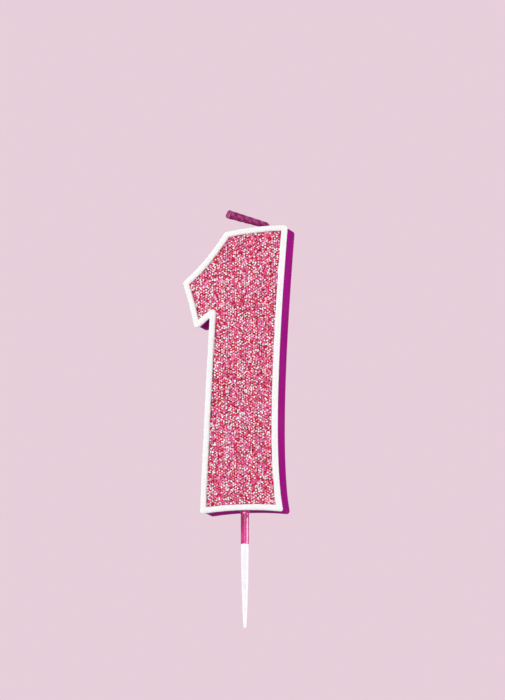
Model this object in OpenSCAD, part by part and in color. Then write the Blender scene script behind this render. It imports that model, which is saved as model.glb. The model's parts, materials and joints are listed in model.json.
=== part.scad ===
// Number birthday candle: the numeral "1" with a cake pick.
// Origin: on the pick's axis, where its dipped neck ends and its bare shank begins.
// +Z is up, the decorated face looks towards -Y, and +X is to the right of that face.

/* [Numeral] */
// Height from the base corners to the top right corner
numeral_h = 69.85; // [55:0.05:110]
// Reach of the top right corner to the right of the pick
top_right = 11.9; // [10:0.1:16]
// Width along the top edge
top_w = 15.5; // [12:0.1:20]
// How far the top left corner lies below the top right one
top_drop = 1.15; // [0:0.05:4]
// Outward bow at the middle of the top edge
top_bow = 0.4; // [0:0.05:0.8]
// Reach of the flag's tip to the left of the pick
flag_reach = 14.25; // [12:0.05:20]
// Drop from the top right corner to the flag's tip
flag_drop = 13.25; // [10:0.05:20]
// Hollow at the middle of the flag's slope
slope_hollow = 0.6; // [0:0.05:1]
// Reach of the heel's corner to the left of the pick
heel_reach = 11.2; // [9.5:0.1:14]
// Drop from the top right corner to the heel's corner
heel_drop = 25.1; // [22:0.1:32]
// Hollow at the middle of the heel's outer edge
heel_hollow = 0.15; // [0:0.05:0.5]
// Reach of the notch between heel and stem to the left of the pick
notch_reach = 7.55; // [6:0.05:9]
// Rise from the heel's corner to the notch
notch_rise = 3; // [1:0.1:4]
// Width of the base
base_w = 20.65; // [16:0.05:28]
// How far the middle of the base lies to the right of the pick
base_shift = 0.4; // [-1:0.1:1]
// Rise of the shallow arch under the base
base_arch = 0.65; // [0:0.05:1.2]
// How far the stem's right side is pulled in from the base's right corner
waist_pull = 3.2; // [0:0.1:5]
// Height above the base that the right side is pulled in towards
waist_z = 17; // [10:0.5:30]
// Outward bow at the middle of the stem's left side
stem_bow = 0.1; // [0:0.05:0.4]

/* [Wax body] */
// Thickness of the wax body, front to back
body_d = 9; // [7:0.1:14]
// Radius of the rounded edge around the back
edge_r = 1; // [0.6:0.1:2]
// Extra rounding of the wax body's corners
body_soft = 0.4; // [0:0.1:1]
// Thickness of the coloured dip coat over the wax core
coat_t = 0.5; // [0.3:0.05:0.8]

/* [Front] */
// Width of the raised white rim
rim_w = 1.45; // [1:0.05:2.2]
// How far the rim stands out past the sides of the wax body
rim_over = 0.3; // [0.1:0.05:0.5]
// Height of the rim above the front of the wax body
rim_h = 1; // [0.7:0.05:1.6]
// Height of the rim's straight sides under its rounded top
rim_wall = 0.4; // [0.2:0.05:0.6]
// Thickness of the adhesive that holds the glitter
binder_t = 0.25; // [0.1:0.05:0.4]
// Thickness of the layer of glitter flakes
glitter_t = 0.35; // [0.2:0.05:0.6]

/* [Wick] */
// Place of the wick to the right of the pick
wick_x = 5.65; // [4:0.1:7]
// Length of the straight stub between the wax and the wick's bend
wick_stub = 0.35; // [0:0.05:2]
// Length of the wick outside the wax, from its bend to its cut end
wick_len = 10.3; // [6:0.1:16]
// Lean of the wick from upright towards the left
wick_lean = 72; // [0:0.5:75]
// Diameter of one cotton strand
strand_d = 0.56; // [0.4:0.02:0.66]
// Length along the wick in which the strands make one turn
strand_pitch = 6; // [4:0.5:10]
// Thickness of the wax on the bent root of the wick
wick_coat_t = 0.12; // [0.08:0.01:0.25]
// Growth of that coat's thickness towards the cut end
wick_swell = 0.3; // [0:0.01:0.4]
// Height above the base at which the buried wick ends
wick_foot = 4; // [2:0.5:12]
// Free play around the strands and under the bend
wick_play = 0.04; // [0.02:0.01:0.08]

/* [Pick] */
// Diameter of the pick's bare shank
pick_d = 1.9; // [1.5:0.05:3]
// Length of the shank that is truly cylindrical
shank_len = 3; // [2:0.5:6]
// Length of the slowly tapering stretch under the shank
taper_len = 7.5; // [4:0.5:14]
// Diameter where the slow taper gives way to the point
taper_d = 1.58; // [1.2:0.02:2]
// Length of the point, with its rounded tip
point_len = 10; // [6:0.5:16]
// Diameter of the rounded tip
tip_d = 0.76; // [0.4:0.02:1]
// Length of the dipped neck between the bare shank and the base corners
neck_len = 6.9; // [4:0.05:14]
// Thickness of the dip coat at the bottom of the neck
neck_coat_t = 0.1; // [0.06:0.01:0.2]
// How much thicker that coat is where the neck meets the wax
neck_gather = 0.03; // [0.01:0.01:0.1]
// Length of the pick inside the wax, measured from the base corners
embed_len = 20; // [12:0.5:30]
// Diameter of the pick at its embedded end
embed_d = 1.6; // [1.2:0.05:1.7]
// How far the grip rings stand out from the embedded part
grip_out = 0.2; // [0.1:0.05:0.4]

/* [Corners] */
// Radius of the top left corner
top_left_r = 0.8; // [0.3:0.1:1.2]
// Radius of the top right corner
top_right_r = 0.7; // [0.3:0.1:1.2]
// Radius of the two base corners
base_r = 0.6; // [0.3:0.1:1.2]
// Radius of the flag's tip
tip_r = 0.6; // [0.3:0.1:1]
// Radius of the heel's corner
heel_r = 0.8; // [0.3:0.1:1.2]
// Radius in the notch
notch_r = 0.15; // [0.1:0.05:0.4]

/* [Hidden] */

round_fn = 64;          // facets of the round pieces
strand_fn = 8;          // sides of a cotton strand
turn_slices = 12;       // slices in one turn of a strand
corner_steps = 4;       // chords in a rounded corner
bead_steps = 8;         // chords across the rim's bead
edge_steps = 5;         // chords round the back edge
sharpest_r = 0.12;      // least corner radius after an inset
heel_split = 1;         // how far under the heel a cap's faces change over to the stem
grip_pitch = 4;         // distance between the pick's grip rings
grip_rise = 0.4;        // height of a grip ring's lower flank
grip_fall = 1.6;        // height of its upper flank
neck_proud = 0.02;      // how far the neck's coat stands out past the bare shank
strand_gap = 0.006;     // how far each strand stands off the other two
tip_step = 15;          // degrees in a chord of a rounded tip

front_y = -body_d / 2;
back_y = body_d / 2;
base_z = neck_len;
top_z = base_z + numeral_h;
base_left = base_shift - base_w / 2;
base_right = base_shift + base_w / 2;
top_left = top_right - top_w;

neck_r = pick_d / 2 - neck_coat_t + neck_proud;
embed_z = base_z + embed_len;
strand_r = strand_d / 2;
strand_off = strand_r * 2 / sqrt(3) + strand_gap;   // of three strands side by side
cord_r = strand_off + strand_r;
channel_r = cord_r + wick_play / 2;
wick_root_r = channel_r + wick_coat_t;
wick_tip_r = wick_root_r + wick_swell;
// Height of the wax body's top where the wick leaves it
wick_share = (wick_x - top_left) / top_w;
wick_exit_z = top_z - top_drop * (1 - wick_share) + 4 * top_bow * wick_share * (1 - wick_share)
    - rim_over;
wick_bend_z = wick_exit_z + wick_stub + wick_root_r + wick_play;

// Point of the curve from a to b that is drawn towards c
function curve_at(a, c, b, t) = (1 - t) * (1 - t) * a + 2 * t * (1 - t) * c + t * t * b;
// Pull point of a curve from a to b whose middle lies h to the right of the way from a to b
function pull(a, b, h) =
    let (way = (b - a) / norm(b - a)) (a + b) / 2 + 2 * h * [way.y, -way.x];
// An edge as [point, radius] pairs: the corner a, then the points between a and b
function edge(a, r, c, b, steps) =
    [for (i = [0 : steps - 1]) [curve_at(a, c, b, i / steps), i == 0 ? r : 0]];

// Sharp outline of the numeral, clockwise from the top left corner, seen from the front
top_left_corner = [top_left, top_z - top_drop];
top_right_corner = [top_right, top_z];
base_right_corner = [base_right, base_z];
base_left_corner = [base_left, base_z];
notch_corner = [-notch_reach, top_z - heel_drop + notch_rise];
heel_corner = [-heel_reach, top_z - heel_drop];
flag_corner = [-flag_reach, top_z - flag_drop];
outline_edges = concat(
    edge(top_left_corner, top_left_r,
        (top_left_corner + top_right_corner) / 2 + [0, 2 * top_bow], top_right_corner, 6),
    edge(top_right_corner, top_right_r,
        [base_right - waist_pull, base_z + waist_z], base_right_corner, 14),
    edge(base_right_corner, base_r,
        (base_right_corner + base_left_corner) / 2 + [0, 2 * base_arch], base_left_corner, 8),
    edge(base_left_corner, base_r,
        pull(base_left_corner, notch_corner, -stem_bow), notch_corner, 5),
    edge(notch_corner, notch_r, (notch_corner + heel_corner) / 2, heel_corner, 1),
    edge(heel_corner, heel_r, pull(heel_corner, flag_corner, heel_hollow), flag_corner, 3),
    edge(flag_corner, tip_r, pull(flag_corner, top_left_corner, slope_hollow), top_left_corner, 6)
);

function cross2(a, b) = a.x * b.y - a.y * b.x;
// The point of a closed outline moved inwards by d, along the mitre of its two sides
function mitre(before, at, after, d) =
    let (
        u = (at - before) / norm(at - before),
        v = (after - at) / norm(after - at),
        inward = [u.y, -u.x] + [v.y, -v.x]
    ) at + inward * d / (1 + u * v);
// A corner as an arc of radius r between its two sides
function arc(before, at, after, r) =
    let (
        u = (before - at) / norm(before - at),
        v = (after - at) / norm(after - at),
        half = acos(u * v) / 2,
        middle = at + (u + v) / norm(u + v) * r / sin(half),
        from = at + u * r / tan(half) - middle,
        to = at + v * r / tan(half) - middle
    ) [for (i = [0 : corner_steps])
        let (way = from + (to - from) * i / corner_steps) middle + way / norm(way) * r];
// Radius of a corner after an inset: an outer corner closes up and the notch opens
function inset_r(before, at, after, r, d, soft) =
    cross2(at - before, after - at) < 0 ? max(r - d, sharpest_r) + soft : r + d / 2;
// The numeral's outline moved inwards by d, as [x, z] points, its outer corners softer by soft
function outline(d = 0, soft = 0) =
    let (
        raw = outline_edges,
        n = len(raw),
        moved = [for (i = [0 : n - 1])
            mitre(raw[(i + n - 1) % n][0], raw[i][0], raw[(i + 1) % n][0], d)]
    ) [for (i = [0 : n - 1])
        let (before = moved[(i + n - 1) % n], at = moved[i], after = moved[(i + 1) % n])
            each raw[i][1] == 0 ? [at]
                : arc(before, at, after, inset_r(before, at, after, raw[i][1], d, soft))];

// Faces that close a ring of n points round two inner points, as seen from behind
function cap(ring, first, head, stem) =
    let (
        n = len(ring),
        split_z = heel_corner.y - heel_split,
        hub = [for (p = ring) p.y > split_z ? head : stem]
    ) [for (i = [0 : n - 1])
        let (j = (i + 1) % n)
            each concat([[first + i, hub[i], first + j]],
                hub[i] == hub[j] ? [] : [[first + j, hub[i], hub[j]]])];
function flipped(faces) = [for (f = faces) [f[2], f[1], f[0]]];
// Side faces between ring k and ring l of n points
function band(k, l, n) = [for (i = [0 : n - 1])
    [k * n + i, l * n + i, l * n + (i + 1) % n, k * n + (i + 1) % n]];
function ring_points(rings, soft = 0) =
    [for (ring = rings) each [for (p = outline(ring[1], soft)) [p.x, ring[0], p.y]]];

// Closed skin through rings [y, inset], capped at both ends
module ring_solid(rings, soft) {
    n = len(outline());
    last = len(rings) - 1;
    head = (flag_corner.y + top_z) / 2;
    stem = base_z + waist_z;
    hubs = [for (y = [rings[0][0], rings[last][0]], z = [head, stem]) [0, y, z]];
    at = (last + 1) * n;
    polyhedron(concat(ring_points(rings, soft), hubs), concat(
        flipped(cap(outline(rings[0][1], soft), 0, at, at + 1)),
        cap(outline(rings[last][1], soft), last * n, at + 2, at + 3),
        [for (k = [0 : last - 1]) each band(k, k + 1, n)]), convexity = 6);
}

// Closed ring whose section runs through [y, inset] points and back to the first
module ring_bead(section) {
    m = len(section);
    polyhedron(ring_points(section),
        [for (k = [0 : m - 1]) each band(k, (k + 1) % m, len(outline()))], convexity = 8);
}

// Flat plate of the numeral's inset shape, from y_front back by its thickness
module plate(inset, y_front, thickness) {
    translate([0, y_front + thickness, 0])
        rotate([90, 0, 0])
            linear_extrude(height = thickness) polygon(outline(inset));
}

// Wax body with a square front edge and a rounded back edge, shrunk on all sides by d
module wax_body(d) {
    r = edge_r - d;
    side = rim_over + d;
    ring_solid(concat(
        [[front_y + d, side]],
        [for (i = [0 : edge_steps])
            let (a = 90 * i / edge_steps)
                [back_y - d - r + r * sin(a), side + r * (1 - cos(a))]]), body_soft);
}

// Radius of the pick at height z above the dip line, where it has a slight draft
function upper_r(z) = neck_r + (embed_d / 2 - neck_r) * z / embed_z;

// Whole pick about its axis
module pick_shape() {
    grips = floor((embed_len - grip_pitch) / grip_pitch);
    tip_z = -(shank_len + taper_len + point_len);
    rotate_extrude($fn = round_fn) polygon(concat(
        [[0, tip_z]],
        [for (a = [tip_step : tip_step : 75]) tip_d / 2 * [sin(a), 1 - cos(a)] + [0, tip_z]],
        [[tip_d / 2, tip_z + tip_d / 2], [taper_d / 2, -(shank_len + taper_len)],
            [pick_d / 2, -shank_len], [pick_d / 2, 0], [neck_r, 0]],
        [for (i = [1 : grips])
            let (z = base_z + i * grip_pitch)
                each [[upper_r(z), z], [upper_r(z) + grip_out, z + grip_rise],
                    [upper_r(z + grip_fall), z + grip_fall]]],
        [[embed_d / 2, embed_z - embed_d / 4], [embed_d / 4, embed_z], [0, embed_z]]));
}

// Channel that the buried wick lies in
module wick_channel() {
    translate([wick_x, 0, base_z + wick_foot])
        cylinder(h = numeral_h, r = channel_r, $fn = round_fn);
}

// One strand of the three, twisted about the Z axis from z = 0 up
module strand(index, length) {
    rotate([0, 0, 120 * index])
        linear_extrude(height = length, twist = -360 * length / strand_pitch,
            slices = ceil(turn_slices * length / strand_pitch), convexity = 6)
            translate([strand_off, 0]) circle(r = strand_r, $fn = strand_fn);
}

// Places what stands on the wick's bend, at the lean that the wick is shaped to
module leaning() {
    translate([wick_x, 0, wick_bend_z]) rotate([0, -wick_lean, 0]) children();
}

module wax_core() {
    color("mediumvioletred") difference() {
        wax_body(coat_t);
        pick_shape();
        wick_channel();
    }
}

module colour_coat() {
    color("#a01280") difference() {
        wax_body(0);
        wax_body(coat_t);
        pick_shape();
        wick_channel();
    }
}

module front_rim() {
    color("white") ring_bead(concat(
        [[front_y, rim_w], [front_y, 0]],
        [for (i = [0 : bead_steps])
            let (a = 180 * i / bead_steps)
                [front_y - rim_wall - (rim_h - rim_wall) * sin(a), rim_w / 2 * (1 - cos(a))]]));
}

module glitter_binder() {
    color("hotpink") plate(rim_w, front_y - binder_t, binder_t);
}

module glitter_flakes() {
    color("palevioletred") plate(rim_w, front_y - binder_t - glitter_t, glitter_t);
}

module pick() {
    color("whitesmoke") pick_shape();
}

module pick_neck_coat() {
    color("deeppink") difference() {
        cylinder(h = neck_len + base_arch + rim_over + coat_t, r1 = neck_r + neck_coat_t,
            r2 = neck_r + neck_coat_t + neck_gather, $fn = round_fn);
        pick_shape();
        wax_body(0);
    }
}

module wick_strand(index) {
    color("palevioletred")
        translate([wick_x, 0, base_z + wick_foot])
            strand(index, wick_exit_z + wick_stub - base_z - wick_foot);
}

module wick_end_strand(index) {
    color("plum") leaning() strand(index, wick_len);
}

module wick_end_coat() {
    color("mediumvioletred") leaning() rotate_extrude($fn = round_fn) polygon(concat(
        [for (a = [0 : tip_step : 90]) wick_root_r * [sin(a), -cos(a)]],
        [[wick_tip_r, wick_len - wick_coat_t], [wick_tip_r - wick_coat_t, wick_len],
            [channel_r, wick_len], [channel_r, 0], [0, 0]]));
}

wax_core();
colour_coat();
front_rim();
glitter_binder();
glitter_flakes();
pick();
pick_neck_coat();
wick_strand(0);  // wick_strand_a
wick_strand(1);  // wick_strand_b
wick_strand(2);  // wick_strand_c
wick_end_strand(0);  // wick_end_strand_a
wick_end_strand(1);  // wick_end_strand_b
wick_end_strand(2);  // wick_end_strand_c
wick_end_coat();
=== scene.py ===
"""Number birthday candle, the numeral one on a cake pick: pieces, finishes and a plain studio."""

import json
import math
import random

import bmesh
import bpy
from bpy.props import FloatProperty, FloatVectorProperty, IntProperty, PointerProperty
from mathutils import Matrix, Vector, noise


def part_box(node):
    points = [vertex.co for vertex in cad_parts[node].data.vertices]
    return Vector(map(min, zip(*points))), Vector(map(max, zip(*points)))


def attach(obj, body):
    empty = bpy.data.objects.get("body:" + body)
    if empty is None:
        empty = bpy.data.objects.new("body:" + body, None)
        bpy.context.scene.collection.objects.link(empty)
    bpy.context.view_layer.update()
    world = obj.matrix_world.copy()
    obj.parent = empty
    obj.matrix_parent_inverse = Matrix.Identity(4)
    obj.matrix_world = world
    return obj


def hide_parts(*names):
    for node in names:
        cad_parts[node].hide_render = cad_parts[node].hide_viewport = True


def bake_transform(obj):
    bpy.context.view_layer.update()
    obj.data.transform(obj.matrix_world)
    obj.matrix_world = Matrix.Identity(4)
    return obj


bl_info = {
    "name": "Number Candle",
    "version": (1, 0, 0),
    "blender": (4, 5, 0),
    "location": "3D Viewport > Sidebar > Candle",
    "description": "Makes a glittered numeral candle on a cake pick, piece by piece",
    "category": "Add Mesh",
}

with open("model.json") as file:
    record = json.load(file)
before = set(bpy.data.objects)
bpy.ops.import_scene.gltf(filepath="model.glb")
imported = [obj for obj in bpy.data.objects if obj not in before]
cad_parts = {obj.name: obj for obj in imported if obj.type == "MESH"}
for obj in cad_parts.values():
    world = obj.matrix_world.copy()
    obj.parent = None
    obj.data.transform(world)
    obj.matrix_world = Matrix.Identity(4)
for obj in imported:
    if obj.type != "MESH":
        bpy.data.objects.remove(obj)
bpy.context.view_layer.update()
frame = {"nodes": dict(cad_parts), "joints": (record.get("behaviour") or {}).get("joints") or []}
MM = 0.001

# Clear length that the outline's points leave beside its corners.
CORNER_ROOM = 3.6 * MM
# Radii of the numeral's corners, and the least that an inset leaves of one.
TOP_LEFT_RADIUS = 0.8 * MM
TOP_RIGHT_RADIUS = 0.7 * MM
BASE_RADIUS = 0.6 * MM
NOTCH_RADIUS = 0.15 * MM
HEEL_RADIUS = 0.8 * MM
TIP_RADIUS = 0.6 * MM
LEAST_RADIUS = 0.12 * MM
# Step between rows of flakes and how far a flake strays, as shares of the gap between flakes.
ROW_STEP = 0.866
STRAY = 0.22
# Radius and rise, in millimetres, of the wax that has crept up round the wick.
COLLAR_PROFILE = (
    (0.4, -0.6),
    (2.1, -0.5),
    (2.1, -0.05),
    (1.7, 0.03),
    (1.35, 0.12),
    (1.1, 0.26),
    (0.95, 0.46),
    (0.82, 0.62),
    (0.72, 0.64),
    (0.4, 0.6),
)
# Scale and depth, in millimetres, of the rings that close the wick's cut end.
CUT_PROFILE = ((0.93, -0.03), (0.8, 0.02), (0.6, 0.12), (0.35, 0.16), (0.1, 0.1))

RIM_LOW, RIM_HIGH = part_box("front_rim")
COAT_LOW, COAT_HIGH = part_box("colour_coat")
FLAKES_LOW, FLAKES_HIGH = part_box("glitter_flakes")
PICK_LOW, PICK_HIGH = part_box("pick")


def size(name, text, default):
    """A length in metres that a user can change."""
    return FloatProperty(
        name=name, description=text, default=default, unit="LENGTH", precision=5
    )


def colour(name, text, default):
    """A colour that a user can change, as the linear light that it sends back."""
    return FloatVectorProperty(
        name=name,
        description=text,
        default=default,
        subtype="COLOR",
        size=3,
        min=0.0,
        max=1.0,
    )


def share(name, text, default):
    """A plain number from nought to one."""
    return FloatProperty(name=name, description=text, default=default, min=0.0, max=1.0)


# ---------------------------------------------------------------- sizes and colours


class NumeralShape(bpy.types.PropertyGroup):
    """Outline of the numeral, measured from the pick's axis and the dip line on it"""

    top: size("Top", "Height of the top right corner", RIM_HIGH.z)
    base: size("Base", "Height of the two base corners", RIM_LOW.z)
    top_right: size("Top right", "Reach of the top right corner", 11.9 * MM)
    top_width: size("Top width", "Width along the top edge", 15.5 * MM)
    top_drop: size("Top drop", "How far the top left corner lies lower", 1.15 * MM)
    top_bow: size("Top bow", "Outward bow of the top edge", 0.4 * MM)
    flag_reach: size("Flag reach", "Reach of the flag's tip to the left", 14.25 * MM)
    flag_drop: size("Flag drop", "Drop from the top to the flag's tip", 13.25 * MM)
    slope_hollow: size("Slope hollow", "Hollow of the flag's slope", 0.6 * MM)
    heel_reach: size("Heel reach", "Reach of the heel's corner", 11.2 * MM)
    heel_drop: size("Heel drop", "Drop from the top to the heel's corner", 25.1 * MM)
    heel_hollow: size("Heel hollow", "Hollow of the heel's outer edge", 0.15 * MM)
    notch_reach: size("Notch reach", "Reach of the notch to the left", 7.55 * MM)
    notch_rise: size("Notch rise", "Rise from the heel to the notch", 3.0 * MM)
    base_width: size("Base width", "Width between the base corners", 20.65 * MM)
    base_shift: size("Base shift", "How far the base sits to the right", 0.4 * MM)
    base_arch: size("Base arch", "Rise of the arch under the base", 0.65 * MM)
    waist_pull: size("Waist pull", "Pull of the right side inwards", 3.2 * MM)
    waist_height: size("Waist height", "Height the right side is pulled to", 17 * MM)
    stem_bow: size("Stem bow", "Outward bow of the stem's left side", 0.1 * MM)


class WaxFinish(bpy.types.PropertyGroup):
    """The coloured wax body"""

    rim_over: size("Set back", "How far the body's sides lie inside the rim's", 0.3 * MM)
    soft: size("Softening", "Extra rounding of the body's corners", 0.4 * MM)
    edge_radius: size("Back edge", "Radius of the rounded back edge", 1.0 * MM)
    coat: size("Coat", "Thickness of the coloured coat", 0.5 * MM)
    dye: colour("Dye", "Colour of the dipped coat", (0.345, 0.001, 0.215))
    core: colour("Core", "Colour of the wax inside", (0.50, 0.16, 0.33))
    roughness: share("Roughness", "Roughness of the wax's skin", 0.42)


class FrontFinish(bpy.types.PropertyGroup):
    """The white rim and the glitter inside it"""

    rim_width: size("Rim width", "Width of the white rim", 1.45 * MM)
    rim_white: colour("Rim white", "Colour of the rim's wax", (0.865, 0.865, 0.86))
    flake: size("Flake", "Width of a flake across its corners", 0.46 * MM)
    flake_gauge: size("Flake gauge", "Thickness of a flake", 0.02 * MM)
    flake_gap: size("Flake gap", "Distance between neighbouring flakes", 0.38 * MM)
    tilt: FloatProperty(
        name="Tilt",
        description="How much the flakes lean, as the usual angle",
        default=math.radians(13),
        subtype="ANGLE",
    )
    seed: IntProperty(name="Seed", description="Changes how the flakes fall", default=7)
    # The five flake colours are partly a real mix of foils and partly one foil's painted light:
    # silver is painted glint, maroon is painted shade.
    silver: colour("Silver", "Brightest flakes", (1.0, 0.97, 0.99))
    blush: colour("Blush", "Pale pink flakes", (0.97, 0.50, 0.72))
    pink: colour("Pink", "Pink flakes", (0.94, 0.14, 0.40))
    red: colour("Red", "Red flakes", (0.76, 0.006, 0.045))
    maroon: colour("Maroon", "Darkest flakes", (0.36, 0.002, 0.020))


class PickShape(bpy.types.PropertyGroup):
    """The plastic pick and the dipped neck above it"""

    shank: size("Shank", "Diameter of the bare shank", 1.9 * MM)
    shank_length: size("Shank length", "Length of the even shank", 3.0 * MM)
    taper_length: size("Taper length", "Length of the slow taper", 7.5 * MM)
    taper_end: size("Taper end", "Diameter where the point begins", 1.58 * MM)
    point_length: size("Point length", "Length of the point", 10.0 * MM)
    tip: size("Tip", "Diameter of the rounded tip", 0.76 * MM)
    neck: size("Neck", "Diameter of the plastic under the dip coat", 1.74 * MM)
    embedded_end: size("Embedded end", "Diameter at the embedded end", 1.6 * MM)
    grip: size("Grip", "How far the grip rings stand out", 0.2 * MM)
    dip: size("Dip", "Thickness of the coat on the neck", 0.1 * MM)
    white: colour("White", "Colour of the moulded plastic", (0.90, 0.90, 0.93))
    neck_pink: colour("Neck pink", "Colour of the thin coat", (0.86, 0.075, 0.38))
    neck_deep: colour("Neck deep", "Colour where it lies thicker", (0.66, 0.018, 0.21))


class WickShape(bpy.types.PropertyGroup):
    """The bent end of the wick"""

    length: size("Length", "Length from the bend to the cut end", 10.3 * MM)
    lean: FloatProperty(
        name="Lean",
        description="Lean of the free end from upright to the left",
        default=math.radians(72),
        subtype="ANGLE",
    )
    root: size("Root", "Radius where the wick leaves the wax", 0.749 * MM)
    swell: size("Swell", "How much thicker the cut end is", 0.3 * MM)
    bend: size("Bend", "Radius of the bend", 0.9 * MM)
    pitch: size("Pitch", "Length of one turn of the strands", 6.0 * MM)
    lit: colour("Lit", "Colour of the waxed fibres", (0.47, 0.045, 0.235))
    # Deep is both the dark end of the fibres' own tone and the painted shade in the furrows
    # between the strands.
    deep: colour("Deep", "Colour between the strands", (0.16, 0.006, 0.07))


class StudioShape(bpy.types.PropertyGroup):
    """Camera, floor and lights"""

    azimuth: FloatProperty(
        name="Azimuth",
        description="Turn of the camera to the candle's right",
        default=math.radians(14.1),
        subtype="ANGLE",
    )
    elevation: FloatProperty(
        name="Elevation",
        description="Height of the camera as an angle, below when negative",
        default=math.radians(-7.9),
        subtype="ANGLE",
    )
    distance: size("Distance", "From the camera to the candle", 2.4)
    view_height: size("View height", "Height of what the camera sees", 169.0 * MM)
    aim_right: size("Aim right", "Middle of the view, right of the pick", 1.85 * MM)
    aim_up: size("Aim up", "Middle of the view above the dip line", 46.85 * MM)
    floor_drop: size("Floor drop", "Depth of the floor under the dip line", 0.42)
    backdrop: colour("Backdrop", "Colour of the surround", (0.80, 0.62, 0.70))
    floor: colour("Floor", "Colour of the floor", (0.90, 0.86, 0.88))
    light: colour("Light", "Even light from all round", (0.66, 0.66, 0.66))


# ---------------------------------------------------------------- outline


def along_curve(a, pull, b, t):
    """A point of the curve from a to b that is drawn towards pull."""
    return a * (1 - t) ** 2 + pull * (2 * t * (1 - t)) + b * t**2


def bowed(a, b, hollow):
    """The pull point that puts the middle of a curve that far to the right of its chord."""
    way = (b - a).normalized()
    return (a + b) / 2 + Vector((way.y, -way.x)) * 2 * hollow


def sharp_outline(shape):
    """Corners and curves of the numeral, clockwise from the top left, as (point, radius)."""
    left = shape.base_shift - shape.base_width / 2
    right = shape.base_shift + shape.base_width / 2
    top_left = Vector((shape.top_right - shape.top_width, shape.top - shape.top_drop))
    top_right = Vector((shape.top_right, shape.top))
    base_right = Vector((right, shape.base))
    base_left = Vector((left, shape.base))
    heel = Vector((-shape.heel_reach, shape.top - shape.heel_drop))
    notch = Vector((-shape.notch_reach, heel.y + shape.notch_rise))
    flag = Vector((-shape.flag_reach, shape.top - shape.flag_drop))
    waist = Vector((right - shape.waist_pull, shape.base + shape.waist_height))
    runs = (
        (top_left, TOP_LEFT_RADIUS, bowed(top_left, top_right, -shape.top_bow), top_right, 7),
        (top_right, TOP_RIGHT_RADIUS, waist, base_right, 36),
        (base_right, BASE_RADIUS, bowed(base_right, base_left, shape.base_arch), base_left, 12),
        (base_left, BASE_RADIUS, bowed(base_left, notch, -shape.stem_bow), notch, 20),
        (notch, NOTCH_RADIUS, (notch + heel) / 2, heel, 0),
        (heel, HEEL_RADIUS, bowed(heel, flag, shape.heel_hollow), flag, 4),
        (flag, TIP_RADIUS, bowed(flag, top_left, shape.slope_hollow), top_left, 8),
    )
    points = []
    for a, radius, pull, b, steps in runs:
        points.append((a, radius))
        first = CORNER_ROOM / (pull - a).length / 2
        last = 1 - CORNER_ROOM / (b - pull).length / 2
        for i in range(steps):
            t = first + (last - first) * i / (steps - 1)
            points.append((along_curve(a, pull, b, t), 0.0))
    return points


def rounded_corner(before, at, after, radius, chords=8):
    """A corner as an arc between its two sides."""
    u, v = (before - at).normalized(), (after - at).normalized()
    half = u.angle(v) / 2
    middle = at + (u + v).normalized() * radius / math.sin(half)
    start = at + u * radius / math.tan(half) - middle
    end = at + v * radius / math.tan(half) - middle
    return [
        middle + (start + (end - start) * i / chords).normalized() * radius
        for i in range(chords + 1)
    ]


def outline(shape, inset=0.0, soft=0.0):
    """The numeral's outline moved inwards, as points of x and z, its outer corners softened."""
    raw = sharp_outline(shape)
    count = len(raw)
    moved = []
    for i, (at, _) in enumerate(raw):
        u = (at - raw[i - 1][0]).normalized()
        v = (raw[(i + 1) % count][0] - at).normalized()
        inward = Vector((u.y, -u.x)) + Vector((v.y, -v.x))
        moved.append(at + inward * inset / (1 + u.dot(v)))
    points = []
    for i, (_, radius) in enumerate(raw):
        before, at, after = moved[i - 1], moved[i], moved[(i + 1) % count]
        if radius == 0.0:
            points.append(at)
            continue
        turn = (at - before).cross(after - at)
        shrunk = max(radius - inset, LEAST_RADIUS) + soft if turn < 0 else radius + inset / 2
        points += rounded_corner(before, at, after, shrunk)
    return points


# ---------------------------------------------------------------- modelling by hand


def clear_selection():
    """Leaves edit mode and deselects every object."""
    if bpy.context.mode != "OBJECT":
        bpy.ops.object.mode_set(mode="OBJECT")
    bpy.ops.object.select_all(action="DESELECT")


def pick_up(piece):
    """Makes one object the selected and active one."""
    clear_selection()
    piece.select_set(True)
    bpy.context.view_layer.objects.active = piece
    return piece


def draw_skin(name, rings, ends="capped"):
    """Draws one skin through rings of equal length, each extruded out of the last.

    ends is capped for two flat ends, or joined where the last ring meets the first."""
    clear_selection()
    count = len(rings[0])
    bpy.ops.mesh.primitive_circle_add(vertices=count, radius=MM, fill_type="NOTHING")
    piece = bpy.context.object
    piece.name = piece.data.name = name
    bpy.ops.object.mode_set(mode="EDIT")
    bpy.ops.mesh.select_mode(type="VERT")
    bpy.ops.mesh.select_all(action="SELECT")
    mesh = bmesh.from_edit_mesh(piece.data)
    mesh.verts.layers.int.new("seat")
    mesh.verts.layers.int.new("ring")
    for i, vertex in enumerate(mesh.verts):
        vertex[mesh.verts.layers.int["seat"]] = i
    for k, ring in enumerate(rings + rings[:1] if ends == "joined" else rings):
        if k:
            bpy.ops.mesh.extrude_region_move()
            mesh = bmesh.from_edit_mesh(piece.data)
        seat, level = mesh.verts.layers.int["seat"], mesh.verts.layers.int["ring"]
        for vertex in mesh.verts:
            if vertex.select:
                vertex.co = ring[vertex[seat]]
                vertex[level] = k
        bmesh.update_edit_mesh(piece.data)
    if ends == "capped":
        bpy.ops.mesh.edge_face_add()
        mesh = bmesh.from_edit_mesh(piece.data)
        level = mesh.verts.layers.int["ring"]
        for vertex in mesh.verts:
            vertex.select = vertex[level] == 0
        mesh.select_flush_mode()
        for edge in mesh.edges:
            edge.select = all(v.select for v in edge.verts)
        bmesh.update_edit_mesh(piece.data)
        bpy.ops.mesh.edge_face_add()
    bpy.ops.mesh.select_all(action="SELECT")
    if ends == "joined":
        bpy.ops.mesh.remove_doubles(threshold=1e-7)
    bpy.ops.mesh.normals_make_consistent(inside=False)
    bpy.ops.object.mode_set(mode="OBJECT")
    for layer in ("seat", "ring"):
        piece.data.attributes.remove(piece.data.attributes[layer])
    return piece


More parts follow.
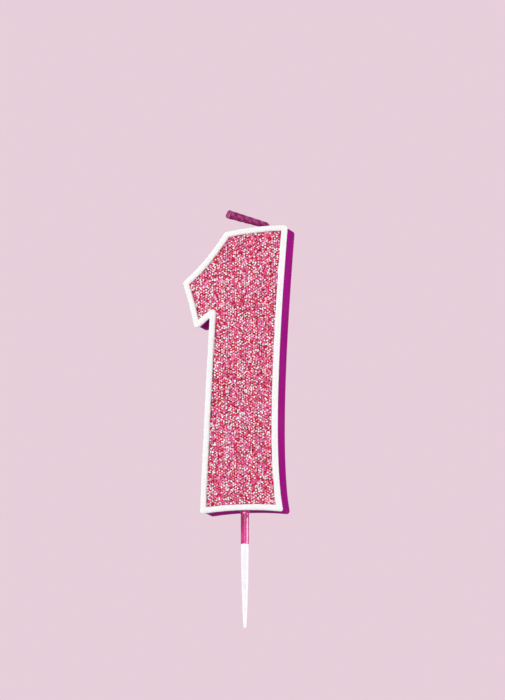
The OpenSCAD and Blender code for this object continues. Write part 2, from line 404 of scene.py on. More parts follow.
def smooth(piece, angle=40.0):
    """Smooth shading that keeps real edges, weighted by the size of the faces."""
    pick_up(piece)
    bpy.ops.object.shade_smooth_by_angle(angle=math.radians(angle))
    bpy.ops.object.modifier_add(type="WEIGHTED_NORMAL")
    piece.modifiers[-1].keep_sharp = True
    bpy.ops.object.modifier_apply(modifier=piece.modifiers[-1].name)
    return piece


def flipped(piece):
    """Turns a closed skin into a cavity."""
    pick_up(piece)
    bpy.ops.object.mode_set(mode="EDIT")
    bpy.ops.mesh.select_all(action="SELECT")
    bpy.ops.mesh.flip_normals()
    bpy.ops.object.mode_set(mode="OBJECT")
    return piece


def joined(piece, *others):
    """Joins the others into the first."""
    pick_up(piece)
    for other in others:
        other.select_set(True)
    bpy.ops.object.join()
    return piece


def seat_piece(piece, finish, body, slot, *nodes):
    """Gives a piece its finish, the body that it moves with and the nodes that it stands for."""
    piece.data.materials.clear()
    piece.data.materials.append(finish)
    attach(piece, body)
    if nodes:
        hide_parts(*nodes)
    return piece


def numeral_ring(shape, y, inset, soft=0.0):
    """The numeral's outline at one depth, as points in space."""
    return [Vector((p.x, y, p.y)) for p in outline(shape, inset, soft)]


def circle_ring(z, radii):
    """A ring round the pick's axis, with one radius for each of its points."""
    count = len(radii)
    return [
        Vector((r * math.cos(math.tau * i / count), r * math.sin(math.tau * i / count), z))
        for i, r in enumerate(radii)
    ]


# ---------------------------------------------------------------- finishes


class Socket:
    """A node's output that can be used in sums."""

    def __init__(self, finish, output):
        self.finish, self.output = finish, output

    def math(self, operation, *values):
        """One Math node on these values."""
        inputs = dict(enumerate(values))
        return self.finish.node("ShaderNodeMath", {"operation": operation}, inputs)

    def __add__(self, other):
        return self.math("ADD", self, other)

    def __sub__(self, other):
        return self.math("SUBTRACT", self, other)

    def __mul__(self, other):
        return self.math("MULTIPLY", self, other)


class Finish:
    """A material whose nodes are added one call at a time."""

    def __init__(self, name, **constants):
        self.material = bpy.data.materials.new(name)
        self.material.use_nodes = True
        self.tree = self.material.node_tree
        self.shader = self.tree.nodes["Principled BSDF"]
        for socket, value in constants.items():
            self.shader.inputs[socket.replace("_", " ")].default_value = value

    def node(self, kind, settings, inputs, output=0):
        """Adds a node: its settings first, then the values or links of its sockets."""
        node = self.tree.nodes.new(kind)
        for key, value in settings.items():
            if key == "stops":
                self.set_stops(node.color_ramp, value)
            else:
                setattr(node, key, value)
        for socket, value in inputs.items():
            self.feed(node.inputs[socket], value)
        return Socket(self, node.outputs[output])

    def set_stops(self, ramp, stops):
        """Replaces a ramp's stops by (position, colour) pairs."""
        while len(ramp.elements) > 1:
            ramp.elements.remove(ramp.elements[-1])
        ramp.elements[0].position = stops[0][0]
        for position, _ in stops[1:]:
            ramp.elements.new(position)
        for element, (_, shade) in zip(ramp.elements, stops):
            element.color = (*shade, 1.0)

    def feed(self, socket, value):
        """Links a Socket or sets a plain value."""
        if isinstance(value, Socket):
            self.tree.links.new(value.output, socket)
        elif socket.type == "RGBA" and len(value) == 3:
            socket.default_value = (*value, 1.0)
        else:
            socket.default_value = value

    def drive(self, socket, value):
        """Feeds one of the shader's own sockets."""
        self.feed(self.shader.inputs[socket], value)

    def place(self):
        """Coordinates of the surface in the candle's frame."""
        return self.node("ShaderNodeTexCoord", {}, {}, "Object")

    def stretched(self, place, scale):
        """Coordinates stretched differently along each axis."""
        return self.node("ShaderNodeMapping", {}, {"Vector": place, "Scale": scale})

    def cloud(self, place, scale, detail=3.0, roughness=0.5):
        """Soft noise from 0 to 1 with that many features in a metre."""
        inputs = {"Vector": place, "Scale": scale, "Detail": detail, "Roughness": roughness}
        return self.node("ShaderNodeTexNoise", {}, inputs, "Fac")

    def blend(self, factor, a, b):
        """Mixes two colours."""
        inputs = {0: factor, 6: a, 7: b}
        return self.node("ShaderNodeMix", {"data_type": "RGBA"}, inputs, 2)

    def fade(self, value, low, high, to_low=0.0, to_high=1.0):
        """Spreads a range of values over another range and stops at its ends."""
        inputs = {0: value, 1: low, 2: high, 3: to_low, 4: to_high}
        return self.node("ShaderNodeMapRange", {}, inputs)

    def bump(self, height, distance, strength=1.0):
        """Feeds the shader's normal from a height of 0 to 1."""
        inputs = {"Height": height, "Distance": distance, "Strength": strength}
        self.drive("Normal", self.node("ShaderNodeBump", {}, inputs))


def dyed_wax(name, dye, roughness):
    """Smooth dipped wax: soft hills where it ran, slight clouds in the dye."""
    finish = Finish(name, Specular_IOR_Level=0.15, IOR=1.44)
    place = finish.place()
    runs = finish.cloud(finish.stretched(place, (1.0, 1.0, 0.35)), 260.0, 2.0)
    grain = finish.cloud(place, 2600.0, 3.0)
    clouds = finish.cloud(place, 90.0, 2.0)
    deep = [c * 0.80 for c in dye]
    pale = [min(1.0, c * 1.12 + 0.001) for c in dye]
    finish.drive("Base Color", finish.blend(clouds, deep, pale))
    finish.drive("Roughness", finish.fade(runs, 0.3, 0.7, roughness - 0.06, roughness + 0.08))
    finish.bump(runs * 0.85 + grain * 0.15, 0.12 * MM, 0.55)
    return finish.material


def white_wax(name, white):
    """The rim's white wax: bright, a little see-through and gently lumpy, with painted shade in
    the pits of its bump.
    """
    finish = Finish(
        name,
        Specular_IOR_Level=0.4,
        IOR=1.44,
        Subsurface_Weight=0.15,
        Subsurface_Radius=(1.0, 0.95, 0.9),
        Subsurface_Scale=0.6 * MM,
    )
    place = finish.place()
    lumps = finish.cloud(place, 420.0, 2.0)
    pits = finish.cloud(place, 3200.0, 2.0)
    # The white is painted a touch darker where the fine pits of the bump lie low: painted shade in
    # the pits.
    pit_shaded_white = [c * 0.955 for c in white]
    finish.drive("Base Color", finish.blend(finish.fade(pits, 0.35, 0.62), pit_shaded_white, white))
    finish.drive("Roughness", finish.fade(lumps, 0.3, 0.7, 0.26, 0.38))
    finish.bump(lumps * 0.8 + pits * 0.2, 0.1 * MM, 0.5)
    return finish.material


def glitter_ground(name, front):
    """The bed under the loose flakes: adhesive full of fine glitter."""
    finish = Finish(name, Specular_IOR_Level=0.5)
    place = finish.place()
    cells = finish.node(
        "ShaderNodeTexVoronoi", {}, {"Vector": place, "Scale": 2600.0}, "Color"
    )
    tone = finish.node("ShaderNodeSeparateColor", {}, {"Color": cells}, 0)
    # The fine glitter in the bed uses the same colours, from painted shade in maroon to painted
    # glint in silver.
    stops = (
        (0.0, front.maroon),
        (0.30, front.red),
        (0.55, front.pink),
        (0.80, front.blush),
        (0.93, front.silver),
    )
    ramp = {"stops": stops}
    ground = finish.node("ShaderNodeValToRGB", ramp, {"Fac": tone})
    finish.drive("Base Color", finish.blend(0.35, ground, [0.5 * c for c in front.red]))
    finish.drive("Roughness", finish.fade(tone, 0.0, 1.0, 0.5, 0.25))
    finish.bump(tone, 0.15 * MM, 0.6)
    return finish.material


def foil(name, tint, metal):
    """A glitter flake: coloured foil under a clear film, slightly scuffed."""
    finish = Finish(name, Metallic=metal, Coat_Weight=0.3, Coat_Roughness=0.15)
    place = finish.place()
    batch = finish.cloud(place, 3000.0, 1.0)
    deep = [c * 0.82 for c in tint]
    finish.drive("Base Color", finish.blend(finish.fade(batch, 0.35, 0.65), deep, tint))
    finish.drive("Roughness", finish.fade(batch, 0.3, 0.7, 0.22, 0.36))
    return finish.material


def moulded_white(name, white):
    """Injection-moulded plastic: even, glossy, with the mould's faint drag marks."""
    finish = Finish(
        name,
        Specular_IOR_Level=0.5,
        IOR=1.49,
        Subsurface_Weight=0.1,
        Subsurface_Scale=0.5 * MM,
    )
    place = finish.place()
    drag = finish.cloud(finish.stretched(place, (1.0, 1.0, 0.08)), 4200.0, 3.0)
    flow = finish.cloud(place, 240.0, 2.0)
    shade = [c * 0.93 for c in white]
    finish.drive("Base Color", finish.blend(finish.fade(flow, 0.3, 0.6), shade, white))
    finish.drive("Roughness", finish.fade(drag, 0.3, 0.7, 0.24, 0.36))
    finish.bump(drag * 0.6 + flow * 0.4, 0.04 * MM, 0.5)
    return finish.material


def dipped_neck(name, pick):
    """A thin dip coat over white plastic: thicker and thinner streaks, very glossy."""
    finish = Finish(
        name,
        Specular_IOR_Level=0.4,
        Coat_Weight=1.0,
        Coat_IOR=2.4,
        Coat_Roughness=0.05,
    )
    place = finish.place()
    streaks = finish.cloud(finish.stretched(place, (1.0, 1.0, 0.5)), 1700.0, 3.0, 0.7)
    specks = finish.cloud(place, 4200.0, 2.0)
    mottle = finish.fade(streaks * 0.6 + specks * 0.4, 0.42, 0.58)
    finish.drive("Base Color", finish.blend(mottle, pick.neck_deep, pick.neck_pink))
    finish.drive("Roughness", finish.fade(specks, 0.3, 0.7, 0.2, 0.36))
    finish.bump(streaks * 0.6 + specks * 0.4, 0.1 * MM, 0.6)
    return finish.material


def waxed_cotton(name, wick):
    """Twisted cotton soaked in dyed wax: fibres and clots, with painted shade in the furrows
    between the strands.
    """
    finish = Finish(name, Specular_IOR_Level=0.35)
    lay = finish.node("ShaderNodeAttribute", {"attribute_name": "lay"}, {}, "Vector")
    fibres = finish.cloud(finish.stretched(lay, (1.0, 1.0, 0.3)), 2600.0, 4.0, 0.65)
    clots = finish.cloud(lay, 1150.0, 3.0, 0.6)
    furrow = finish.node("ShaderNodeAttribute", {"attribute_name": "furrow"}, {}, "Fac")
    # The furrows between the twisted strands are darkened towards the deep colour: painted shade.
    tone = finish.fade(fibres * 0.45 + clots * 0.55 - furrow * 0.16, 0.30, 0.58)
    finish.drive("Base Color", finish.blend(tone, wick.deep, wick.lit))
    finish.drive("Roughness", finish.fade(clots, 0.3, 0.7, 0.35, 0.6))
    finish.bump(fibres * 0.5 + clots * 0.5, 0.16 * MM, 0.8)
    return finish.material


def dry_cotton(name, wick):
    """The buried strands: cotton yarn, its fibres along the strand."""
    finish = Finish(name, Specular_IOR_Level=0.2)
    place = finish.place()
    fibres = finish.cloud(finish.stretched(place, (1.0, 1.0, 0.2)), 6000.0, 4.0, 0.65)
    pale = [min(1.0, c * 1.3 + 0.1) for c in wick.lit]
    finish.drive("Base Color", finish.blend(fibres, wick.lit, pale))
    finish.drive("Roughness", finish.fade(fibres, 0.3, 0.7, 0.7, 0.9))
    finish.bump(fibres, 0.05 * MM)
    return finish.material


def studio_card(name, shade):
    """A matt painted floor with hardly any grain."""
    finish = Finish(name, Specular_IOR_Level=0.1)
    grain = finish.cloud(finish.place(), 3.0, 2.0)
    finish.drive("Base Color", finish.blend(grain, [c * 0.97 for c in shade], shade))
    finish.drive("Roughness", finish.fade(grain, 0.0, 1.0, 0.8, 0.9))
    return finish.material


# ---------------------------------------------------------------- pieces


def body_rings(shape, wax, shrink):
    """Rings of the wax body, from its nearly square front edge to its rounded back edge."""
    front, back = COAT_LOW.y + shrink, COAT_HIGH.y - shrink
    edge, side = wax.edge_radius, wax.rim_over + shrink
    r = edge - shrink
    bevel, straight = 0.06 * MM, 0.8 * MM
    rings = [(front, side + bevel), (front + bevel, side), (front + straight, side)]
    steps = 8
    for i in range(steps + 1):
        a = math.pi / 2 * i / steps
        rings.append((back - r + r * math.sin(a), side + r * (1 - math.cos(a))))
    return [numeral_ring(shape, y, inset, wax.soft) for y, inset in rings]


class CANDLE_OT_wax_core(bpy.types.Operator):
    """Gives the wax core its finish"""

    bl_idname = "candle.wax_core"
    bl_label = "Finish Wax Core"

    def execute(self, context):
        wax = context.scene.candle_wax
        node = frame["nodes"]["wax_core"]
        node.data.materials.clear()
        node.data.materials.append(dyed_wax("core wax", wax.core, 0.55))
        return {"FINISHED"}


class CANDLE_OT_colour_coat(bpy.types.Operator):
    """Models the dipped coat as a thin shell round the wax core"""

    bl_idname = "candle.colour_coat"
    bl_label = "Make Colour Coat"

    def execute(self, context):
        shape, wax = context.scene.candle_numeral, context.scene.candle_wax
        outer = draw_skin("colour_coat_skin", body_rings(shape, wax, 0.0))
        inner = draw_skin("cavity", body_rings(shape, wax, wax.coat))
        coat = smooth(joined(outer, flipped(inner)))
        finish = dyed_wax("dyed wax", wax.dye, wax.roughness)
        seat_piece(coat, finish, "candle", "coat_wax", "colour_coat")
        self.add_collar(context, finish)
        return {"FINISHED"}

    def add_collar(self, context, finish):
        """Draws the wax that has crept up round the wick where it leaves the top edge."""
        shape, wax = context.scene.candle_numeral, context.scene.candle_wax
        centre = wick_root()
        rings = []
        sides = 40
        for radius, rise in COLLAR_PROFILE:
            ring = []
            for i in range(sides):
                a = math.tau * i / sides
                x = centre.x + radius * math.cos(a) * MM
                lump = 1 + 0.1 * noise.noise(Vector((math.cos(a), math.sin(a), 3.0)))
                z = top_edge(shape, x) - wax.rim_over + rise * lump * MM
                ring.append(Vector((x, radius * math.sin(a) * MM * lump, z)))
            rings.append(ring)
        collar = smooth(draw_skin("wick_collar", rings))
        seat_piece(collar, finish, "candle", "coat_wax")


def top_edge(shape, x):
    """Height of the numeral's top edge at x."""
    along = (x - shape.top_right + shape.top_width) / shape.top_width
    return shape.top - shape.top_drop * (1 - along) + 4 * shape.top_bow * along * (1 - along)


def wick_root():
    """The point on the wick's axis that its free end turns about."""
    return Vector(frame["joints"][0]["pos_m"])


class CANDLE_OT_front_rim(bpy.types.Operator):
    """Models the raised white rim as a rounded bead of wax"""

    bl_idname = "candle.front_rim"
    bl_label = "Make Front Rim"

    def execute(self, context):
        shape, front = context.scene.candle_numeral, context.scene.candle_front
        width = front.rim_width
        high, low = RIM_LOW.y, COAT_LOW.y
        wall = 0.35 * (low - high)
        edge, reach, hills = 0.05 * MM, 0.16 * MM, 420
        profile = [(low, width), (low, edge)]
        steps, squareness = 16, 0.6
        for i in range(steps + 1):
            a = math.pi * i / steps
            across = math.copysign(abs(math.cos(a)) ** squareness, math.cos(a))
            rise = math.sin(a) ** squareness if 0 < i < steps else 0.0
            inset = edge + (width - edge) / 2 * (1 - across)
            profile.append((low - wall - (low - high - wall) * rise, inset))
        rings = []
        for y, inset in profile:
            ring = numeral_ring(shape, y, inset)
            wider = numeral_ring(shape, y, inset + reach)
            for i, (at, out) in enumerate(zip(ring, wider)):
                sway = noise.noise(at * hills) * inset / width
                ring[i] = at + (out - at) * sway
            rings.append(ring)
        rim = smooth(draw_skin("white_rim", rings, "joined"), 50)
        finish = white_wax("rim wax", front.rim_white)
        seat_piece(rim, finish, "candle", "rim_wax", "front_rim")
        return {"FINISHED"}


class CANDLE_OT_glitter_bed(bpy.types.Operator):
    """Models the adhesive bed that the loose glitter lies in"""

    bl_idname = "candle.glitter_bed"
    bl_label = "Make Glitter Bed"

    def execute(self, context):
        shape, front = context.scene.candle_numeral, context.scene.candle_front
        lap, cover = 0.08 * MM, 0.05 * MM
        inset = front.rim_width - lap
        surface = FLAKES_HIGH.y - cover
        levels = (
            (COAT_LOW.y, inset),
            (surface + cover, inset),
            (surface - 0.02 * MM, inset + 0.1 * MM),
            (surface, inset + 0.5 * MM),
        )
        bed = draw_skin("glitter_bed", [numeral_ring(shape, y, i) for y, i in levels])
        finish = glitter_ground("glitter ground", front)
        seat_piece(smooth(bed), finish, "candle", "binder", "glitter_binder")
        return {"FINISHED"}


def inside(points, x, z):
    """Whether a point lies inside an outline."""
    found = False
    for a, b in zip(points, points[1:] + points[:1]):
        if (a.y > z) != (b.y > z) and x < a.x + (b.x - a.x) * (z - a.y) / (b.y - a.y):
            found = not found
    return found


class CANDLE_OT_glitter(bpy.types.Operator):
    """Scatters the loose flakes over their bed, one piece for each colour of foil, the brightest
    carrying painted glint and the darkest painted shade
    """

    bl_idname = "candle.glitter"
    bl_label = "Scatter Glitter"

    def execute(self, context):
        shape, front = context.scene.candle_numeral, context.scene.candle_front
        rng = random.Random(front.seed)
        # Each kind's shares for the three turns: turn 0 gives mostly bright flakes with painted
        # glint, turn 2 mostly dark flakes with painted shade.
        kinds = (
            ("glitter_silver", front.silver, 0.0, (0.52, 0.08, 0.0)),
            ("glitter_blush", front.blush, 0.0, (0.20, 0.10, 0.0)),
            ("glitter_pink", front.pink, 0.0, (0.24, 0.42, 0.14)),
            ("glitter_red", front.red, 0.05, (0.04, 0.36, 0.58)),
            ("glitter_maroon", front.maroon, 0.05, (0.0, 0.04, 0.28)),
        )
        places = {name: [] for name, *_ in kinds}
        for place, turn in self.scattered(shape, front, rng):
            weights = [shares[turn] for *_, shares in kinds]
            places[rng.choices(kinds, weights)[0][0]].append(place)
        for name, tint, metal, _ in kinds:
            flakes = self.copies(name, front, places[name], rng)
            finish = foil(name.replace("_", " "), tint, metal)
            seat_piece(flakes, finish, "candle", "glitter")
            if name == "glitter_pink":
                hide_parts("glitter_flakes")
        return {"FINISHED"}

    def scattered(self, shape, front, rng):
        """Evenly spread places for the flakes, and a turn from 0 to 2 that differs nearby, so that
        flakes with painted glint and painted shade mix evenly.
        """
        field = outline(shape, front.rim_width + 0.1 * MM)
        low_x, high_x = min(p.x for p in field), max(p.x for p in field)
        low_z, high_z = min(p.y for p in field), max(p.y for p in field)
        gap = front.flake_gap
        for row in range(int((high_z - low_z) / (gap * ROW_STEP)) + 1):
            for column in range(int((high_x - low_x) / gap) + 1):
                x = low_x + gap * (column + 0.5 * (row % 2)) + rng.gauss(0, STRAY * gap)
                z = low_z + gap * ROW_STEP * row + rng.gauss(0, STRAY * gap)
                if inside(field, x, z):
                    depth = rng.uniform(FLAKES_LOW.y + 0.07 * MM, FLAKES_HIGH.y - 0.08 * MM)
                    yield Vector((x, depth, z)), (column - row // 2 + 2 * row) % 3

    def copies(self, name, front, places, rng):
        """One mesh of many flakes: a hexagon of foil, modelled once and copied."""
        clear_selection()
        bpy.ops.mesh.primitive_cylinder_add(
            vertices=6, radius=front.flake / 2, depth=front.flake_gauge
        )
        flake = bpy.context.object
        corners = [v.co.copy() for v in flake.data.vertices]
        sides = [tuple(p.vertices) for p in flake.data.polygons]
        bpy.ops.object.delete()
        points, faces = [], []
        for place in places:
            lean = min(abs(rng.gauss(0, front.tilt)), 1.2)
            axis = rng.uniform(0, math.tau)
            normal = Vector(
                (math.sin(lean) * math.cos(axis), -math.cos(lean), math.sin(lean) * math.sin(axis))
            )
            turn = normal.to_track_quat("Z", "Y")
            spin = rng.uniform(0, math.pi / 3)
            grown = rng.uniform(0.82, 1.12)
            start = len(points)
            cos, sin = math.cos(spin), math.sin(spin)
            for c in corners:
                flat = Vector((c.x * cos - c.y * sin, c.x * sin + c.y * cos, c.z))
                points.append(place + turn @ (flat * grown))
            faces += [tuple(start + i for i in side) for side in sides]
        mesh = bpy.data.meshes.new(name)
        mesh.from_pydata(points, [], faces)
        piece = bpy.data.objects.new(name, mesh)
        bpy.context.scene.collection.objects.link(piece)
        return piece


class CANDLE_OT_pick(bpy.types.Operator):
    """Models the plastic pick with its point, taper, shank and grip rings"""

    bl_idname = "candle.pick"
    bl_label = "Make Pick"

    def execute(self, context):
        pick, shape = context.scene.candle_pick, context.scene.candle_numeral
        r, tip = pick.shank / 2, pick.tip / 2
        low = PICK_LOW.z
        taper = -(pick.shank_length + pick.taper_length)
        profile = [
            (low + tip * (1 - math.cos(a)), max(tip * math.sin(a), 0.02 * MM))
            for a in (math.radians(d) for d in (2, 15, 30, 45, 60, 75))
        ]
        point_steps = 14
        for i in range(point_steps + 1):
            t = i / point_steps
            swell = 0.03 * MM * math.sin(math.pi * t)
            profile.append(
                (low + tip + (taper - low - tip) * t, tip + (pick.taper_end / 2 - tip) * t + swell)
            )
        profile += [(-pick.shank_length - 3 * MM, pick.taper_end / 2 + 0.1 * MM)]
        profile += [(-pick.shank_length, r), (-0.05 * MM, r), (0.0, r - 0.05 * MM)]
        profile += [(0.0, pick.neck / 2)]
        top = PICK_HIGH.z
        for i in range(1, 5):
            z = shape.base + i * 4 * MM
            core = pick.neck / 2 + (pick.embedded_end - pick.neck) / 2 * z / top
            profile += [(z, core), (z + 0.4 * MM, core + pick.grip), (z + 1.6 * MM, core)]
        profile += [(top - 0.4 * MM, pick.embedded_end / 2), (top, 0.4 * MM)]
        rings = []
        for z, radius in profile:
            radii = []
            for i in range(64):
                off = min(i % 32, 32 - i % 32)
                seam = 0.02 * MM * math.exp(-((off / 0.9) ** 2)) if z < -0.3 * MM else 0.0
                radii.append(min(radius + seam * min(1.0, radius / r), r))
            rings.append(circle_ring(z, radii))
        piece = smooth(draw_skin("cake_pick", rings), 35)
        finish = moulded_white("pick plastic", pick.white)
        seat_piece(piece, finish, "candle", "pick_plastic", "pick")
        return {"FINISHED"}


class CANDLE_OT_neck_coat(bpy.types.Operator):
    """Models the thin uneven dip coat on the pick's neck"""

    bl_idname = "candle.neck_coat"
    bl_label = "Make Neck Coat"

    def execute(self, context):
        pick, shape = context.scene.candle_pick, context.scene.candle_numeral
        inner = pick.neck / 2 - 0.03 * MM
        outer = pick.neck / 2 + pick.dip
        top = shape.base + shape.base_arch + 0.25 * MM
        profile = [(top, inner), (0.01 * MM, inner), (0.0, outer - 0.05 * MM)]
        profile += [(0.03 * MM, outer - 0.01 * MM)]
        steps = 60
        for i in range(steps + 1):
            t = i / steps
            z = 0.12 * MM + (top - 0.12 * MM) * t
            creep = 0.45 * MM * max(0.0, (t - 0.9) / 0.1) ** 2
            profile.append((z, outer + 0.02 * MM * t + creep))
        rings = []
        for k, (z, radius) in enumerate(profile):
            radii = []
            for i in range(56):
                a = math.tau * i / 56
                at = Vector((math.cos(a), math.sin(a), z * 900))
                lump = noise.noise(at * 1.6) * 0.014 * MM if k > 3 else 0.0
                radii.append(radius + lump)
            rings.append(circle_ring(z, radii))
        piece = smooth(draw_skin("neck_coat", rings, "joined"), 60)
        finish = dipped_neck("neck wax", pick)
        seat_piece(piece, finish, "candle", "neck_wax", "pick_neck_coat")
        return {"FINISHED"}


class CANDLE_OT_wick(bpy.types.Operator):
    """Models the wick's bent free end and finishes its buried strands"""

    bl_idname = "candle.wick"
    bl_label = "Make Wick"

    def execute(self, context):
        wick = context.scene.candle_wick
        cotton = dry_cotton("dry cotton", wick)
        for strand in ("wick_strand_a", "wick_strand_b", "wick_strand_c"):
            node = frame["nodes"][strand]
            node.data.materials.clear()
            node.data.materials.append(cotton)
        rings, lay, furrows = self.rings(wick)
        piece = draw_skin("waxed_wick", rings)
        smooth(piece, 70)
        self.mark(piece, rings, lay, furrows)
        piece.data.materials.clear()
        piece.data.materials.append(waxed_cotton("waxed cotton", wick))
        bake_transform(piece)
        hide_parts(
            "wick_end_strand_a", "wick_end_strand_b", "wick_end_strand_c", "wick_end_coat"
        )
        return {"FINISHED"}

    def spine(self, wick):
        """Points on the wick's axis with their directions: up out of the wax, round, and out."""
        root = wick_root()
        tangent = wick.bend * math.tan(wick.lean / 2)
        way = Vector((-math.sin(wick.lean), 0, math.cos(wick.lean)))
        up = Vector((0, 0, 1))
        stations = []
        buried, buried_steps, bend_steps = 1.2 * MM, 6, 12
        for i in range(buried_steps):
            stations.append((root - up * (tangent + buried * (1 - i / buried_steps)), up))
        centre = root - up * tangent - Vector((wick.bend, 0, 0))
        for i in range(bend_steps + 1):
            a = wick.lean * i / bend_steps
            at = centre + Vector((math.cos(a), 0, math.sin(a))) * wick.bend
            stations.append((at, Vector((-math.sin(a), 0, math.cos(a)))))
        start = root + way * tangent
        run = wick.length - tangent
        steps = 90
        for i in range(1, steps + 1):
            stations.append((start + way * run * i / steps, way))
        return stations

    def rings(self, wick):
        """Rings of the wick's skin, and where each of their points lies along and round it."""
        stations = self.spine(wick)
        total = sum((b[0] - a[0]).length for a, b in zip(stations, stations[1:]))
        skins = []
        gone = 0.0
        before = stations[0][0]
        for at, way in stations:
            gone += (at - before).length
            before = at
            skins.append(self.skin_ring(wick, at, way, gone, total))
        at, way = stations[-1]
        for scale, sink in CUT_PROFILE:
            dish = (scale, sink * MM, 0.04 * MM)
            skins.append(self.skin_ring(wick, at, way, gone, total, *dish))
        return [list(part) for part in zip(*skins)]

    def skin_ring(self, wick, centre, way, gone, total, scale=1.0, sink=0.0, depth=0.0):
        """One ring of the skin, with its points' places on the wick and how much painted shade
        their furrows get.
        """
        sides, end_cut = 48, math.radians(38)
        side = Vector((way.z, 0, -way.x))
        along = gone / total
        radius = wick.root - 0.03 * MM + wick.swell * max(0.0, along - 0.12) / 0.88
        radius += 0.05 * MM * max(0.0, (along - 0.93) / 0.07) ** 2
        ring, marks, crease_shade_weights = [], [], []
        for i in range(sides):
            a = math.tau * i / sides
            twist = 3 * (a - math.tau * gone / wick.pitch)
            ridge = math.cos(twist)
            spot = Vector((math.cos(a), math.sin(a), gone / wick.root))
            lump = noise.noise(spot * 1.3) * 0.07 + noise.noise(spot * 4.1) * 0.035
            r = radius * scale * (1 + 0.04 * ridge + lump)
            out = side * math.cos(a) + Vector((0, 1, 0)) * math.sin(a)
            slant = r * math.sin(a) * math.tan(end_cut) * max(0.0, (along - 0.85) / 0.15)
            ring.append(centre + out * r + way * (slant - sink + depth * ridge))
            marks.append((radius * math.cos(a) * scale, radius * math.sin(a) * scale, gone))
            # How far the point lies down a furrow, which sets the painted shade there.
            crease_shade_weights.append(max(0.0, -ridge))
        return ring, marks, crease_shade_weights

    def mark(self, piece, rings, lay, furrows):
        """Stores on the mesh where each point lies along the wick, and how deep in a furrow it
        lies, as the weight of the painted shade there.
        """
        flat = [p for ring in rings for p in ring]
        where = [m for marks in lay for m in marks]
        crease_shade_weights = [d for row in furrows for d in row]
        seats = {tuple(round(c * 1e7) for c in p): i for i, p in enumerate(flat)}
        piece.data.attributes.new("lay", "FLOAT_VECTOR", "POINT")
        piece.data.attributes.new("furrow", "FLOAT", "POINT")
        laid, deep = piece.data.attributes["lay"], piece.data.attributes["furrow"]
        for vertex in piece.data.vertices:
            seat = seats.get(tuple(round(c * 1e7) for c in vertex.co), vertex.index)
            laid.data[vertex.index].vector = where[seat]
            deep.data[vertex.index].value = crease_shade_weights[seat]


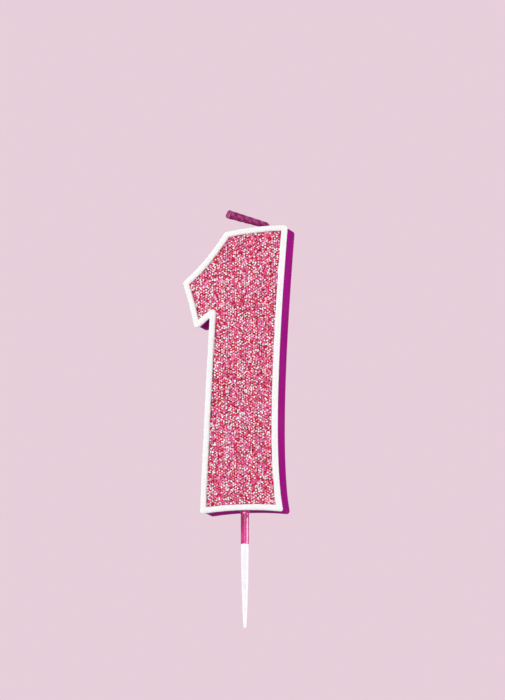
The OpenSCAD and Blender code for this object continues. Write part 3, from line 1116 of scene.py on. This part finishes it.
class CANDLE_OT_studio(bpy.types.Operator):
    """Sets up the floor, the surround, the soft lights and the camera"""

    bl_idname = "candle.studio"
    bl_label = "Set Up Studio"

    def execute(self, context):
        studio = context.scene.candle_studio
        self.floor(studio)
        self.surround(context.scene, studio)
        self.lamps()
        self.camera(context.scene, studio)
        context.scene.view_settings.view_transform = "Standard"
        return {"FINISHED"}

    def floor(self, studio):
        """A wide round floor well under the candle."""
        clear_selection()
        bpy.ops.mesh.primitive_circle_add(
            vertices=96, radius=60.0, fill_type="NGON", location=(0, 0, -studio.floor_drop)
        )
        floor = bpy.context.object
        floor.name = "studio_floor"
        bpy.ops.object.transform_apply(location=True, rotation=True, scale=True)
        floor.data.materials.append(studio_card("studio card", studio.floor))
        floor.visible_glossy = False

    def surround(self, scene, studio):
        """A pale backdrop to the camera, and an even neutral light to everything else."""
        world = bpy.data.worlds.new("studio surround")
        scene.world = world
        world.use_nodes = True
        nodes, links = world.node_tree.nodes, world.node_tree.links
        rays = nodes.new("ShaderNodeLightPath")
        seen = nodes.new("ShaderNodeMix")
        seen.data_type = "RGBA"
        seen.inputs[6].default_value = (*studio.light, 1.0)
        seen.inputs[7].default_value = (*studio.backdrop, 1.0)
        links.new(rays.outputs["Is Camera Ray"], seen.inputs[0])
        links.new(seen.outputs[2], nodes["Background"].inputs["Color"])
        world.cycles_visibility.glossy = False

    def lamps(self):
        """Key at the upper left, fill in front, wide side light, low light and one behind."""
        self.lamp("key", (-0.72, -0.68, 0.55), 0.28, 0.28, 6.4)
        self.lamp("front", (0.25, -1.0, -0.10), 0.6, 0.6, 0.8)
        self.lamp("side", (0.85, 0.0, 0.05), 0.78, 0.6, 4.0)
        self.lamp("low", (-0.05, -0.5, -0.6), 0.5, 0.5, 2.4)
        self.lamp("back", (-0.6, 0.75, 0.4), 0.5, 0.5, 2.0)

    def lamp(self, name, place, width, height, power):
        """One soft box that looks at the middle of the candle."""
        light = bpy.data.lights.new(name, "AREA")
        light.shape = "RECTANGLE"
        light.size, light.size_y = width, height
        light.energy = power
        lamp = bpy.data.objects.new(name, light)
        bpy.context.scene.collection.objects.link(lamp)
        middle = Vector((0, 0, 0.04))
        lamp.visible_camera = False
        lamp.location = place
        lamp.rotation_euler = (Vector(place) - middle).to_track_quat("Z", "Y").to_euler()

    def camera(self, scene, studio):
        """A long lens, a little to the right of the candle and below it."""
        az, el = studio.azimuth, studio.elevation
        back = Vector((math.sin(az) * math.cos(el), -math.cos(az) * math.cos(el), math.sin(el)))
        right = Vector((math.cos(az), math.sin(az), 0))
        up = right.cross(-back)
        data = bpy.data.cameras.new("camera")
        data.sensor_width = 36.0
        data.lens = 36.0 * studio.distance / studio.view_height
        data.clip_start, data.clip_end = 0.05, 200.0
        camera = bpy.data.objects.new("camera", data)
        scene.collection.objects.link(camera)
        camera.location = right * studio.aim_right + up * studio.aim_up + back * studio.distance
        camera.rotation_euler = back.to_track_quat("Z", "Y").to_euler()
        scene.camera = camera


# ---------------------------------------------------------------- panel and registration

GROUPS = (
    ("candle_numeral", NumeralShape),
    ("candle_wax", WaxFinish),
    ("candle_front", FrontFinish),
    ("candle_pick", PickShape),
    ("candle_wick", WickShape),
    ("candle_studio", StudioShape),
)
STEPS = (
    CANDLE_OT_studio,
    CANDLE_OT_wax_core,
    CANDLE_OT_colour_coat,
    CANDLE_OT_front_rim,
    CANDLE_OT_glitter_bed,
    CANDLE_OT_glitter,
    CANDLE_OT_pick,
    CANDLE_OT_neck_coat,
    CANDLE_OT_wick,
)


class CANDLE_PT_panel(bpy.types.Panel):
    """Lists the candle's pieces and their sizes"""

    bl_idname = "CANDLE_PT_panel"
    bl_label = "Number Candle"
    bl_space_type = "VIEW_3D"
    bl_region_type = "UI"
    bl_category = "Candle"

    def draw(self, context):
        for step in STEPS:
            self.layout.operator(step.bl_idname)
        for attribute, group in GROUPS:
            box = self.layout.box()
            box.label(text=group.__doc__)
            for name in group.__annotations__:
                box.prop(getattr(context.scene, attribute), name)


def register():
    """Adds the groups, the steps and the panel."""
    for attribute, group in GROUPS:
        bpy.utils.register_class(group)
        setattr(bpy.types.Scene, attribute, PointerProperty(type=group))
    for step in STEPS:
        bpy.utils.register_class(step)
    bpy.utils.register_class(CANDLE_PT_panel)


def unregister():
    """Takes them away again."""
    bpy.utils.unregister_class(CANDLE_PT_panel)
    for step in reversed(STEPS):
        bpy.utils.unregister_class(step)
    for attribute, group in reversed(GROUPS):
        delattr(bpy.types.Scene, attribute)
        bpy.utils.unregister_class(group)


def main():
    """Makes the whole candle."""
    register()
    bpy.ops.candle.studio()
    bpy.ops.candle.wax_core()
    bpy.ops.candle.colour_coat()
    bpy.ops.candle.front_rim()
    bpy.ops.candle.glitter_bed()
    bpy.ops.candle.glitter()
    bpy.ops.candle.pick()
    bpy.ops.candle.neck_coat()
    bpy.ops.candle.wick()


if __name__ == "__main__":
    main()
